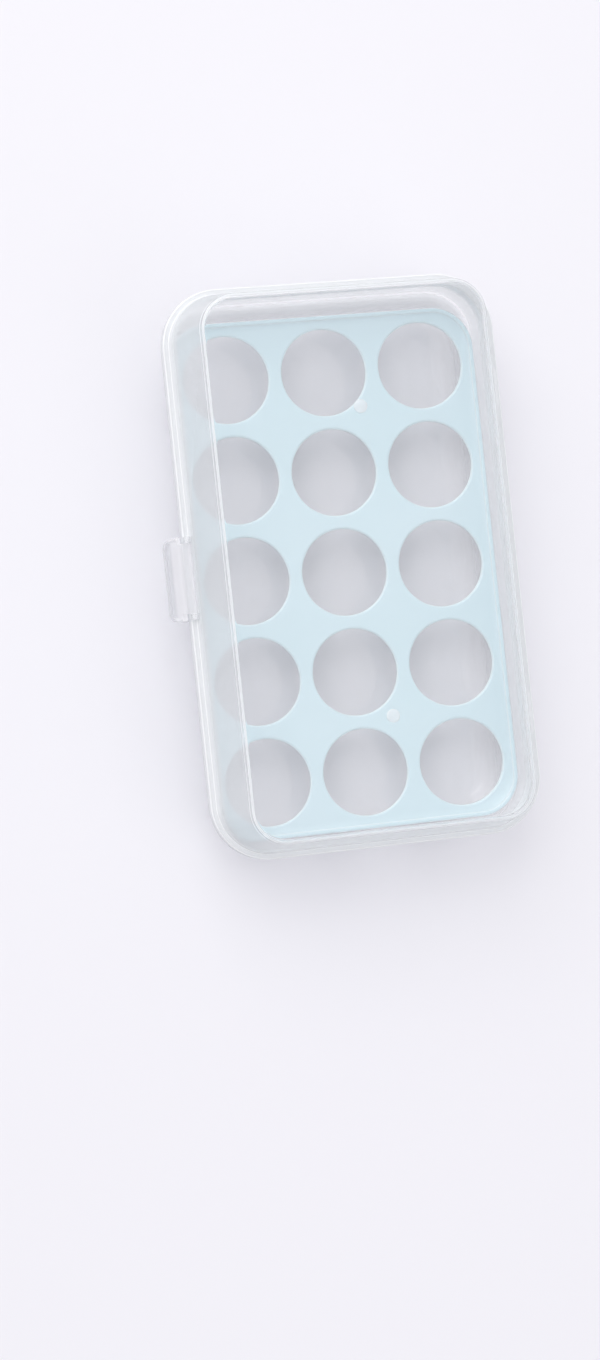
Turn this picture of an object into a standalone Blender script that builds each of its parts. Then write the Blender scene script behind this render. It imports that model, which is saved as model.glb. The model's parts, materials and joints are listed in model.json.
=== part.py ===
"""Hinged egg holder: a clear base and lid in polypropylene, a coloured tray for fifteen eggs, and a latch.

Metres, +Z up. X runs across the holder, from the latch at -X to the hinge at +X, and Y along it.
The origin is the middle of the flat bottom of the base.
"""

import math

import bmesh
import bpy
from mathutils import Matrix, Vector

# Egg places
HOLE_PITCH = 0.044
HOLE_DIAMETER = 0.038
COLUMNS = 3
ROWS = 5

# Tray
TRAY_MARGIN = 0.0059
TRAY_THICKNESS = 0.0017
TRAY_CORNER = 0.018
TRAY_BEAD_WIDTH = 0.0026
TRAY_BEAD_HEIGHT = 0.0009
TRAY_EDGE_ROUND = 0.0004
HOLE_EDGE_ROUND = 0.001
TRAY_SHIFT = 0.0025

# Running and seating gaps
SEAT_GAP = 0.0003
TRAY_SIDE_GAP = 0.0005
TRAY_END_GAP = 0.0055
SKIRT_GAP = 0.00035
PIVOT_GAP = 0.0002
KNUCKLE_GAP = 0.0004
OVERRUN = 0.002

# Base
WALL = 0.0015
BASE_HEIGHT = 0.0355
TRAY_SEAT_HEIGHT = 0.018
LEDGE_WIDTH = 0.0022
FLOOR_ROUND = 0.015
WALL_SLOPE_SHARE = 0.035
LIP_WIDTH = 0.00085
LIP_HEIGHT = 0.002

# Lid
RIM_CORNER = 0.025
SKIRT_WALL = 0.0013
SKIRT_DEPTH = 0.0058
SHOULDER_ROUND = 0.0008
LID_TOP_HEIGHT = 0.066
LID_SIDE_INSET = 0.009
LID_END_INSET = 0.004
LID_TOP_CORNER = 0.015
LID_EDGE_ROUND = 0.002
PIP_DIAMETER = 0.0055
PIP_HEIGHT = 0.0008
PIP_SPACING = 0.132

# Hinge
HINGE_SPACING = 0.144
HINGE_OUT = 0.0002
HINGE_DROP = 0.0025
KNUCKLE_RADIUS = 0.0021
TRUNNION_RADIUS = 0.0011
KNUCKLE_THICKNESS = 0.003
LUG_LENGTH = 0.018
LUG_WEB = 0.0022
LUG_RISE = 0.0035

# Latch
LATCH_LENGTH = 0.036
LATCH_CORNER = 0.004
LATCH_WALL = 0.0015
LATCH_STANDOFF = 0.0006
LATCH_FLARE = 0.0026
LATCH_LIP_REACH = 0.0024
LATCH_LIP_DROP = 0.0014
LATCH_DROP = 0.0138
PIVOT_OUT = 0.0014
PIVOT_RISE = 0.0021
BARREL_RADIUS = 0.0015
PIN_RADIUS = 0.0009
EAR_RADIUS = 0.0019
EAR_THICKNESS = 0.0024
EAR_INSET = 0.0003
CATCH_WIDTH = 0.028
CATCH_THICKNESS = 0.0016
CATCH_REACH = 0.0002
HOOK_BITE = 0.0012
HOOK_THICKNESS = 0.0016

# Steps of the round shapes
CORNER_STEPS = 10
ROUND_STEPS = 3
FLOOR_STEPS = 6
HOLE_SIDES = 32
PIVOT_SIDES = 20
SHARP_ANGLE = math.radians(35)

# Plastics
CLEAR_COLOR = (0.86, 0.89, 0.91)
CLEAR_ROUGHNESS = 0.35
CLEAR_OPACITY = 0.35
TRAY_COLOR = (0.60, 0.80, 0.85)
TRAY_ROUGHNESS = 0.45
TRAY_OPACITY = 0.95

# Sizes that follow from the ones above
TRAY_HALF_X = (COLUMNS - 1) / 2 * HOLE_PITCH + HOLE_DIAMETER / 2 + TRAY_MARGIN
TRAY_HALF_Y = (ROWS - 1) / 2 * HOLE_PITCH + HOLE_DIAMETER / 2 + TRAY_MARGIN
TRAY_BOTTOM = TRAY_SEAT_HEIGHT + SEAT_GAP
TRAY_TOP = TRAY_BOTTOM + TRAY_THICKNESS

SEAT_HALF_X = TRAY_HALF_X + TRAY_SIDE_GAP
SEAT_HALF_Y = TRAY_HALF_Y + TRAY_END_GAP
RIM_SPREAD = WALL_SLOPE_SHARE * (BASE_HEIGHT - TRAY_SEAT_HEIGHT)
MOUTH_HALF_X = SEAT_HALF_X + RIM_SPREAD
MOUTH_HALF_Y = SEAT_HALF_Y + RIM_SPREAD

FLANGE_BOTTOM = BASE_HEIGHT + SEAT_GAP
FLANGE_TOP = FLANGE_BOTTOM + WALL
SKIRT_BOTTOM = FLANGE_TOP - SKIRT_DEPTH
SKIRT_INSIDE = WALL + LIP_WIDTH + SKIRT_GAP
RIM_OUT = SKIRT_INSIDE + SKIRT_WALL
RIM_HALF_X = MOUTH_HALF_X + RIM_OUT
RIM_HALF_Y = MOUTH_HALF_Y + RIM_OUT
MOUTH_CORNER = RIM_CORNER - RIM_OUT

HINGE_X = RIM_HALF_X + HINGE_OUT
HINGE_Z = SKIRT_BOTTOM - HINGE_DROP
PIVOT_X = -(MOUTH_HALF_X + WALL + PIVOT_OUT)
PIVOT_Z = FLANGE_TOP + PIVOT_RISE


def clear_scene():
    for thing in list(bpy.data.objects):
        bpy.data.objects.remove(thing, do_unlink=True)


def plastic(name, color, roughness, alpha):
    """A moulded polypropylene with its colour, roughness and opacity."""
    material = bpy.data.materials.new(name)
    material.use_nodes = True
    shader = material.node_tree.nodes["Principled BSDF"]
    shader.inputs["Base Color"].default_value = (*color, 1.0)
    shader.inputs["Roughness"].default_value = roughness
    shader.inputs["Metallic"].default_value = 0.0
    shader.inputs["Alpha"].default_value = alpha
    material.diffuse_color = (*color, alpha)
    return material


def rectangle_ring(half_x, half_y, corner, height):
    """A rounded rectangle at one height, counter-clockwise from above."""
    ring = []
    for turn, (side_x, side_y) in enumerate(((1, 1), (-1, 1), (-1, -1), (1, -1))):
        for step in range(CORNER_STEPS + 1):
            angle = math.pi / 2 * (turn + step / CORNER_STEPS)
            ring.append((
                side_x * (half_x - corner) + corner * math.cos(angle),
                side_y * (half_y - corner) + corner * math.sin(angle),
                height,
            ))
    return ring


def mouth_ring(out, height):
    """The inside of the base's mouth, moved outwards by a distance, at one height."""
    return rectangle_ring(MOUTH_HALF_X + out, MOUTH_HALF_Y + out, MOUTH_CORNER + out, height)


def circle_ring(center, radius, height, sides):
    ring = []
    for side in range(sides):
        angle = 2 * math.pi * side / sides
        ring.append((center[0] + radius * math.cos(angle), center[1] + radius * math.sin(angle), height))
    return ring


def loft_into(mesh, rings):
    """Adds the closed solid whose skin runs through the rings, from a face across the first to one across the last."""
    loops = [[mesh.verts.new(point) for point in ring] for ring in rings]
    for low, high in zip(loops, loops[1:]):
        for index in range(len(low)):
            following = (index + 1) % len(low)
            mesh.faces.new((low[index], low[following], high[following], high[index]))
    mesh.faces.new(list(reversed(loops[0])))
    mesh.faces.new(loops[-1])


def object_from(name, mesh, material=None):
    data = bpy.data.meshes.new(name)
    mesh.to_mesh(data)
    mesh.free()
    thing = bpy.data.objects.new(name, data)
    bpy.context.scene.collection.objects.link(thing)
    if material:
        data.materials.append(material)
    return thing


def lofted(name, rings, material=None):
    mesh = bmesh.new()
    loft_into(mesh, rings)
    return object_from(name, mesh, material)


def extruded(name, outline, low_y, high_y):
    """A prism along Y. The outline is a list of (x, z) points, clockwise seen along +Y."""
    mesh = bmesh.new()
    near = [mesh.verts.new((x, low_y, z)) for x, z in outline]
    far = [mesh.verts.new((x, high_y, z)) for x, z in outline]
    mesh.faces.new(near)
    mesh.faces.new(list(reversed(far)))
    for index in range(len(outline)):
        following = (index + 1) % len(outline)
        mesh.faces.new((near[following], near[index], far[index], far[following]))
    bmesh.ops.recalc_face_normals(mesh, faces=mesh.faces)
    return object_from(name, mesh)


def rod(name, x, z, radius, low_y, high_y):
    """A round bar along Y."""
    outline = []
    for side in range(PIVOT_SIDES):
        angle = 2 * math.pi * side / PIVOT_SIDES
        outline.append((x + radius * math.cos(angle), z - radius * math.sin(angle)))
    return extruded(name, outline, low_y, high_y)


def combine(target, tool, operation):
    """Joins a tool to a piece, or cuts it away, and keeps the tool as a hidden helper."""
    boolean = target.modifiers.new(tool.name, "BOOLEAN")
    boolean.operation = operation
    boolean.solver = "EXACT"
    boolean.object = tool
    tool.hide_render = True
    tool.display_type = "WIRE"


def finish(thing, pivot, parent=None):
    """Moves an object's origin to its pivot without moving its shape, and shades it smooth."""
    thing.data.transform(Matrix.Translation(-Vector(pivot)))
    thing.data.shade_smooth()
    thing.data.set_sharp_from_angle(angle=SHARP_ANGLE)
    thing.location = pivot
    if parent:
        thing.parent = parent
        thing.location = Vector(pivot) - parent.matrix_world.translation
    bpy.context.view_layer.update()


def hinge_places():
    return (-HINGE_SPACING / 2, HINGE_SPACING / 2)


def hinge_ear(name, low_y):
    """One ear of the base's hinge: a round knuckle on a short block that grows out of the wall."""
    root_x = MOUTH_HALF_X + WALL / 2
    outline = [(root_x, HINGE_Z - KNUCKLE_RADIUS), (root_x, HINGE_Z + KNUCKLE_RADIUS)]
    for step in range(PIVOT_SIDES // 2 + 1):
        angle = math.pi / 2 - math.pi * step / (PIVOT_SIDES // 2)
        outline.append((HINGE_X + KNUCKLE_RADIUS * math.cos(angle), HINGE_Z + KNUCKLE_RADIUS * math.sin(angle)))
    return extruded(name, outline, low_y, low_y + KNUCKLE_THICKNESS)


def base_shell(material):
    """The tub: flat floor, wide round up into the wall, a ledge for the tray and a lip at the rim."""
    drop = WALL_SLOPE_SHARE * (TRAY_SEAT_HEIGHT - FLOOR_ROUND)
    seat = SEAT_HALF_X - MOUTH_HALF_X
    foot = seat - LEDGE_WIDTH - drop
    floor = foot + WALL - FLOOR_ROUND
    inner_round = FLOOR_ROUND - WALL
    rings = []
    for step in range(FLOOR_STEPS + 1):
        angle = math.pi / 2 * step / FLOOR_STEPS
        rings.append(mouth_ring(floor + FLOOR_ROUND * math.sin(angle), FLOOR_ROUND * (1 - math.cos(angle))))
    rings.append(mouth_ring(seat - LEDGE_WIDTH + WALL, TRAY_SEAT_HEIGHT - WALL))
    rings.append(mouth_ring(seat + WALL, TRAY_SEAT_HEIGHT))
    rings.append(mouth_ring(WALL - WALL_SLOPE_SHARE * LIP_HEIGHT, BASE_HEIGHT - LIP_HEIGHT))
    rings.append(mouth_ring(WALL + LIP_WIDTH, BASE_HEIGHT - LIP_HEIGHT + LIP_WIDTH))
    rings.append(mouth_ring(WALL + LIP_WIDTH, BASE_HEIGHT))
    rings.append(mouth_ring(0, BASE_HEIGHT))
    rings.append(mouth_ring(seat, TRAY_SEAT_HEIGHT))
    rings.append(mouth_ring(seat - LEDGE_WIDTH, TRAY_SEAT_HEIGHT))
    for step in range(FLOOR_STEPS + 1):
        angle = math.pi / 2 * (1 - step / FLOOR_STEPS)
        rings.append(mouth_ring(floor + inner_round * math.sin(angle), FLOOR_ROUND - inner_round * math.cos(angle)))
    base = lofted("base_shell", rings, material)

    for place, middle in enumerate(hinge_places()):
        for side in (-1, 1):
            inner = middle + side * (LUG_LENGTH / 2 + KNUCKLE_GAP)
            low = min(inner, inner + side * KNUCKLE_THICKNESS)
            label = f"{place}_{'low' if side < 0 else 'high'}"
            combine(base, hinge_ear(f"hinge_ear_{label}", low), "UNION")
            bore = rod(
                f"hinge_bore_{label}", HINGE_X, HINGE_Z, TRUNNION_RADIUS + PIVOT_GAP,
                low - OVERRUN, low + KNUCKLE_THICKNESS + OVERRUN,
            )
            combine(base, bore, "DIFFERENCE")

    catch_top = SKIRT_BOTTOM - SEAT_GAP
    catch_root = -(MOUTH_HALF_X + WALL / 2)
    catch_tip = -(RIM_HALF_X + CATCH_REACH)
    catch = extruded(
        "latch_catch",
        [
            (catch_root, catch_top - CATCH_THICKNESS),
            (catch_tip, catch_top - CATCH_THICKNESS),
            (catch_tip, catch_top),
            (catch_root, catch_top),
        ],
        -CATCH_WIDTH / 2,
        CATCH_WIDTH / 2,
    )
    combine(base, catch, "UNION")
    finish(base, (0, 0, 0))
    return base


def egg_tray(material, parent):
    """The plate that holds the eggs: a round hole for each, a raised bead all round its edge."""
    top = TRAY_TOP + TRAY_BEAD_HEIGHT
    edge = TRAY_EDGE_ROUND

    def tray_ring(inset, height):
        ring = rectangle_ring(TRAY_HALF_X - inset, TRAY_HALF_Y - inset, TRAY_CORNER - inset, height)
        return [(x, y - TRAY_SHIFT, z) for x, y, z in ring]

    tray = lofted(
        "egg_tray",
        [
            tray_ring(edge, TRAY_BOTTOM),
            tray_ring(0, TRAY_BOTTOM + edge),
            tray_ring(0, top - edge),
            tray_ring(edge, top),
            tray_ring(TRAY_BEAD_WIDTH - edge, top),
            tray_ring(TRAY_BEAD_WIDTH, TRAY_TOP),
        ],
        material,
    )
    mesh = bmesh.new()
    radius = HOLE_DIAMETER / 2
    for column in range(COLUMNS):
        for row in range(ROWS):
            center = (
                HOLE_PITCH * (column - (COLUMNS - 1) / 2),
                HOLE_PITCH * (row - (ROWS - 1) / 2) - TRAY_SHIFT,
            )
            rings = [circle_ring(center, radius, TRAY_BOTTOM - OVERRUN, HOLE_SIDES)]
            for step in range(ROUND_STEPS + 1):
                angle = math.pi / 2 * step / ROUND_STEPS
                rings.append(circle_ring(
                    center,
                    radius + HOLE_EDGE_ROUND * (1 - math.cos(angle)),
                    TRAY_TOP - HOLE_EDGE_ROUND * (1 - math.sin(angle)),
                    HOLE_SIDES,
                ))
            rings.append(circle_ring(center, radius + HOLE_EDGE_ROUND, TRAY_TOP + OVERRUN, HOLE_SIDES))
            loft_into(mesh, rings)
    combine(tray, object_from("egg_holes", mesh), "DIFFERENCE")
    finish(tray, (0, -TRAY_SHIFT, TRAY_BOTTOM), parent)
    return tray


def hinge_lug(name, middle):
    """The web that hangs from the lid's skirt down to the hinge line."""
    inner_x = MOUTH_HALF_X + SKIRT_INSIDE + PIVOT_GAP
    outer_x = inner_x + LUG_WEB
    outline = [
        (inner_x, HINGE_Z),
        (inner_x, SKIRT_BOTTOM + LUG_RISE),
        (RIM_HALF_X - SKIRT_WALL / 2, SKIRT_BOTTOM + LUG_RISE),
        (outer_x, SKIRT_BOTTOM + LUG_WEB / 2),
        (outer_x, HINGE_Z),
    ]
    return extruded(name, outline, middle - LUG_LENGTH / 2, middle + LUG_LENGTH / 2)


def latch_ear(name, low_y):
    """One of the two ears on the lid's flange that carry the latch."""
    outline = [(PIVOT_X + EAR_RADIUS, FLANGE_TOP - WALL / 2), (PIVOT_X - EAR_RADIUS, FLANGE_TOP - WALL / 2)]
    for step in range(PIVOT_SIDES // 2 + 1):
        angle = math.pi - math.pi * step / (PIVOT_SIDES // 2)
        outline.append((PIVOT_X + EAR_RADIUS * math.cos(angle), PIVOT_Z + EAR_RADIUS * math.sin(angle)))
    return extruded(name, outline, low_y, low_y + EAR_THICKNESS)


def ear_low_edges():
    """The low Y edge of each latch ear. The ears stand just inside the ends of the latch."""
    outer = LATCH_LENGTH / 2 - EAR_INSET
    return (-outer, outer - EAR_THICKNESS)


def lid_ring(rise_share, height, inset=0):
    """The lid's wall, which leans in from the flange to the top edge, at a share of its rise."""
    inset_x = rise_share * LID_SIDE_INSET + inset
    inset_y = rise_share * LID_END_INSET + inset
    root = MOUTH_CORNER + WALL
    corner = root + rise_share * (LID_TOP_CORNER - root) - inset
    return rectangle_ring(MOUTH_HALF_X + WALL - inset_x, MOUTH_HALF_Y + WALL - inset_y, corner, height)


def lid_shell(material, parent):
    """The cover: flat top, walls that lean in, a narrow flange and a skirt that hangs over the base."""
    rise = LID_TOP_HEIGHT - FLANGE_TOP
    inner_top = LID_TOP_HEIGHT - WALL
    inner_share = (rise - WALL) / rise
    edge_share = (rise - LID_EDGE_ROUND) / rise
    rings = [lid_ring(inner_share, inner_top, WALL + WALL / 2)]
    rings.append(lid_ring(inner_share - WALL / 2 / rise, inner_top - WALL / 2, WALL))
    rings.append(lid_ring(0, FLANGE_BOTTOM, WALL))
    rings.append(mouth_ring(SKIRT_INSIDE, FLANGE_BOTTOM))
    rings.append(mouth_ring(SKIRT_INSIDE, SKIRT_BOTTOM))
    rings.append(mouth_ring(RIM_OUT, SKIRT_BOTTOM))
    for step in range(ROUND_STEPS + 1):
        angle = math.pi / 2 * step / ROUND_STEPS
        out = RIM_OUT - SHOULDER_ROUND * (1 - math.cos(angle))
        rings.append(mouth_ring(out, FLANGE_TOP - SHOULDER_ROUND * (1 - math.sin(angle))))
    rings.append(mouth_ring(WALL, FLANGE_TOP))
    for step in range(ROUND_STEPS + 1):
        angle = math.pi / 2 * step / ROUND_STEPS
        height = LID_TOP_HEIGHT - LID_EDGE_ROUND * (1 - math.sin(angle))
        rings.append(lid_ring(edge_share, height, LID_EDGE_ROUND * (1 - math.cos(angle))))
    lid = lofted("lid_shell", rings, material)

    for place, middle in enumerate(hinge_places()):
        combine(lid, hinge_lug(f"hinge_lug_{place}", middle), "UNION")
        half = LUG_LENGTH / 2
        barrel = rod(f"hinge_barrel_{place}", HINGE_X, HINGE_Z, KNUCKLE_RADIUS, middle - half, middle + half)
        combine(lid, barrel, "UNION")
        reach = half + KNUCKLE_THICKNESS
        trunnion = rod(f"hinge_trunnion_{place}", HINGE_X, HINGE_Z, TRUNNION_RADIUS, middle - reach, middle + reach)
        combine(lid, trunnion, "UNION")

    for place, low in enumerate(ear_low_edges()):
        combine(lid, latch_ear(f"latch_ear_{place}", low), "UNION")
        bore = rod(
            f"latch_bore_{place}", PIVOT_X, PIVOT_Z, PIN_RADIUS + PIVOT_GAP,
            low - OVERRUN, low + EAR_THICKNESS + OVERRUN,
        )
        combine(lid, bore, "DIFFERENCE")

    for place, side in enumerate((-1, 1)):
        center = (0, side * PIP_SPACING / 2)
        rings = [circle_ring(center, PIP_DIAMETER / 2, LID_TOP_HEIGHT - WALL / 2, PIVOT_SIDES)]
        for step in range(ROUND_STEPS):
            angle = math.pi / 2 * step / ROUND_STEPS
            height = LID_TOP_HEIGHT + PIP_HEIGHT * math.sin(angle)
            rings.append(circle_ring(center, PIP_DIAMETER / 2 * math.cos(angle), height, PIVOT_SIDES))
        combine(lid, lofted(f"pip_{place}", rings), "UNION")
    finish(lid, (HINGE_X, 0, HINGE_Z), parent)
    return lid


def latch_clip(material, parent):
    """The latch: a barrel on the pivot, a leg that hangs over the rim, a hook and a finger lip."""
    plate_top = PIVOT_Z + BARREL_RADIUS
    leg_x = -(RIM_HALF_X + LATCH_STANDOFF)
    foot_z = plate_top - LATCH_DROP
    foot_x = leg_x - LATCH_FLARE
    catch_bottom = SKIRT_BOTTOM - SEAT_GAP - CATCH_THICKNESS
    hook_top = catch_bottom - SEAT_GAP
    hook_tip = -(RIM_HALF_X + CATCH_REACH - HOOK_BITE)
    leg_top = PIVOT_Z - EAR_RADIUS - SEAT_GAP
    lip_x = foot_x - LATCH_WALL - LATCH_LIP_REACH
    lip_z = foot_z - LATCH_LIP_DROP

    def inside_at(height):
        return leg_x - LATCH_FLARE * (plate_top - height) / LATCH_DROP

    leg_outline = [
        (inside_at(leg_top), leg_top),
        (inside_at(hook_top), hook_top),
        (hook_tip, hook_top),
        (hook_tip, hook_top - HOOK_THICKNESS / 2),
        (foot_x, foot_z),
        (lip_x + LATCH_WALL, lip_z),
        (lip_x, lip_z + LATCH_WALL / 2),
        (lip_x, lip_z + LATCH_WALL),
        (foot_x - LATCH_WALL, foot_z + LATCH_WALL),
        (inside_at(leg_top) - LATCH_WALL, leg_top),
    ]
    half = LATCH_LENGTH / 2
    latch = extruded("latch_clip", leg_outline, -half, half)
    latch.data.materials.append(material)

    plan = []
    for height in (foot_z - LATCH_DROP, plate_top + LATCH_DROP):
        ring = rectangle_ring(RIM_HALF_X, half, LATCH_CORNER, height)
        plan.append([(x + lip_x + RIM_HALF_X, y, z) for x, y, z in ring])
    combine(latch, lofted("latch_plan", plan), "INTERSECT")

    span = half - EAR_INSET - EAR_THICKNESS - SEAT_GAP
    joint_z = leg_top - LATCH_WALL / 2
    bridge_outline = [
        (PIVOT_X, PIVOT_Z),
        (PIVOT_X, plate_top),
        (leg_x - LATCH_WALL / 2, plate_top),
        (inside_at(PIVOT_Z) - LATCH_WALL, PIVOT_Z),
        (inside_at(joint_z) - LATCH_WALL, joint_z),
        (inside_at(joint_z), joint_z),
        (inside_at(PIVOT_Z), PIVOT_Z),
    ]
    combine(latch, extruded("latch_bridge", bridge_outline, -span, span), "UNION")
    combine(latch, rod("latch_barrel", PIVOT_X, PIVOT_Z, BARREL_RADIUS, -span, span), "UNION")
    reach = half - EAR_INSET
    combine(latch, rod("latch_pin", PIVOT_X, PIVOT_Z, PIN_RADIUS, -reach, reach), "UNION")
    finish(latch, (PIVOT_X, 0, PIVOT_Z), parent)
    return latch


def build():
    clear_scene()
    clear = plastic("clear_polypropylene", CLEAR_COLOR, CLEAR_ROUGHNESS, CLEAR_OPACITY)
    tinted = plastic("blue_polypropylene", TRAY_COLOR, TRAY_ROUGHNESS, TRAY_OPACITY)
    base = base_shell(clear)
    egg_tray(tinted, base)
    lid = lid_shell(clear, base)
    latch_clip(clear, lid)


build()
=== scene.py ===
import json
import math

import bmesh
import bpy
from mathutils import Matrix, Vector


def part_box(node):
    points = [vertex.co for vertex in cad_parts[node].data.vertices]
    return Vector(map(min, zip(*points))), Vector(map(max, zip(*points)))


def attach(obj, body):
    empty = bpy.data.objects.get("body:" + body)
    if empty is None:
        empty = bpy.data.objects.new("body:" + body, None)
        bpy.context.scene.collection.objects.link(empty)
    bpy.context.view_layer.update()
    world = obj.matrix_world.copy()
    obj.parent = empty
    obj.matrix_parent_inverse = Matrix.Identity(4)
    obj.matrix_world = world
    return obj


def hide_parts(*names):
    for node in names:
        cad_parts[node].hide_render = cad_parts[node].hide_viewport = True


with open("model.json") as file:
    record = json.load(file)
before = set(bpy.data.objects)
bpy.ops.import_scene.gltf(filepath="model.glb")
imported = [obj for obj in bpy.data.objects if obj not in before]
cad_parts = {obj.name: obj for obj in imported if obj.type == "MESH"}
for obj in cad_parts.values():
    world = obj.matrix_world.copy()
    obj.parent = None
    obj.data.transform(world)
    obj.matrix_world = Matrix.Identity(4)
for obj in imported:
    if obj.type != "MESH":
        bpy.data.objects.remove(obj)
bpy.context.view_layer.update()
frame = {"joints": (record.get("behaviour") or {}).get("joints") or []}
joints = {joint["name"]: joint for joint in frame["joints"]}
mm = 0.001
print("egg holder: the packed frame is loaded")


# Helpers for nodes and colours

def linear(hexColour):
    channels = [int(hexColour[place:place + 2], 16) / 255 for place in (1, 3, 5)]
    return tuple(c / 12.92 if c <= 0.04045 else ((c + 0.055) / 1.055) ** 2.4 for c in channels)


def addNode(tree, kind, settings=None, feeds=None):
    node = tree.nodes.new(kind)
    for name, value in (settings or {}).items():
        setattr(node, name, value)
    for socket, source in (feeds or {}).items():
        if isinstance(source, bpy.types.NodeSocket):
            tree.links.new(source, node.inputs[socket])
        else:
            node.inputs[socket].default_value = source
    return node


def maths(tree, operation, *sources):
    feeds = dict(enumerate(sources))
    return addNode(tree, "ShaderNodeMath", {"operation": operation}, feeds).outputs[0]


def newMaterial(name):
    material = bpy.data.materials.new(name)
    material.use_nodes = True
    material.node_tree.nodes.clear()
    return material


# Geometry trees

def newTree(name, inputs):
    tree = bpy.data.node_groups.new(name, "GeometryNodeTree")
    tree.interface.new_socket("Geometry", in_out="INPUT", socket_type="NodeSocketGeometry")
    for title, kind in inputs.items():
        tree.interface.new_socket(title, in_out="INPUT", socket_type=kind)
    tree.interface.new_socket("Geometry", in_out="OUTPUT", socket_type="NodeSocketGeometry")
    return tree, tree.nodes.new("NodeGroupInput"), tree.nodes.new("NodeGroupOutput")


def endTree(tree, start, end, geometry, weld):
    closed = addNode(tree, "GeometryNodeMergeByDistance", feeds={"Geometry": geometry, "Distance": weld})
    real = addNode(tree, "GeometryNodeRealizeInstances", feeds={"Geometry": closed.outputs[0]})
    painted = addNode(
        tree, "GeometryNodeSetMaterial",
        feeds={"Geometry": real.outputs[0], "Material": start.outputs["Material"]},
    )
    tree.links.new(painted.outputs[0], end.inputs["Geometry"])
    return tree


def loftTree():
    # each input point holds a ring's half width, half length and height, its corner attribute the radius
    tree, start, end = newTree("loftedRings", {
        "Corner steps": "NodeSocketInt", "Material": "NodeSocketMaterial",
    })
    rings = start.outputs["Geometry"]
    count = addNode(tree, "GeometryNodeAttributeDomainSize", feeds={"Geometry": rings}).outputs["Point Count"]
    perCorner = maths(tree, "ADD", start.outputs["Corner steps"], 1)
    perRing = maths(tree, "ADD", maths(tree, "MULTIPLY", perCorner, 4), 1)
    grid = addNode(tree, "GeometryNodeMeshGrid", feeds={"Vertices X": count, "Vertices Y": perRing})
    index = addNode(tree, "GeometryNodeInputIndex").outputs[0]
    ring = maths(tree, "FLOOR", maths(tree, "DIVIDE", maths(tree, "ADD", index, 0.5), perRing))
    along = maths(tree, "SUBTRACT", index, maths(tree, "MULTIPLY", ring, perRing))
    turn = maths(tree, "FLOOR", maths(tree, "DIVIDE", maths(tree, "ADD", along, 0.5), perCorner))
    step = maths(tree, "SUBTRACT", along, maths(tree, "MULTIPLY", turn, perCorner))
    quarters = maths(tree, "ADD", turn, maths(tree, "DIVIDE", step, start.outputs["Corner steps"]))
    angle = maths(tree, "MULTIPLY", quarters, math.pi / 2)
    middle = maths(tree, "MULTIPLY", maths(tree, "ADD", turn, 0.5), math.pi / 2)
    place = addNode(tree, "GeometryNodeInputPosition").outputs[0]
    radius = addNode(
        tree, "GeometryNodeInputNamedAttribute", {"data_type": "FLOAT"}, {"Name": "corner"},
    ).outputs[0]
    where = addNode(
        tree, "GeometryNodeSampleIndex", {"data_type": "FLOAT_VECTOR"},
        {"Geometry": rings, "Value": place, "Index": ring},
    )
    corner = addNode(
        tree, "GeometryNodeSampleIndex", {"data_type": "FLOAT"},
        {"Geometry": rings, "Value": radius, "Index": ring},
    ).outputs[0]
    parts = addNode(tree, "ShaderNodeSeparateXYZ", feeds={0: where.outputs[0]})
    sides = []
    for half, wave in ((parts.outputs[0], "COSINE"), (parts.outputs[1], "SINE")):
        side = maths(tree, "SIGN", maths(tree, wave, middle))
        reach = maths(tree, "MULTIPLY", side, maths(tree, "SUBTRACT", half, corner))
        sides.append(maths(tree, "ADD", reach, maths(tree, "MULTIPLY", corner, maths(tree, wave, angle))))
    spot = addNode(tree, "ShaderNodeCombineXYZ", feeds={0: sides[0], 1: sides[1], 2: parts.outputs[2]})
    bent = addNode(
        tree, "GeometryNodeSetPosition", feeds={"Geometry": grid.outputs["Mesh"], "Position": spot.outputs[0]},
    )
    return endTree(tree, start, end, bent.outputs[0], 0.001 * mm)


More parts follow.
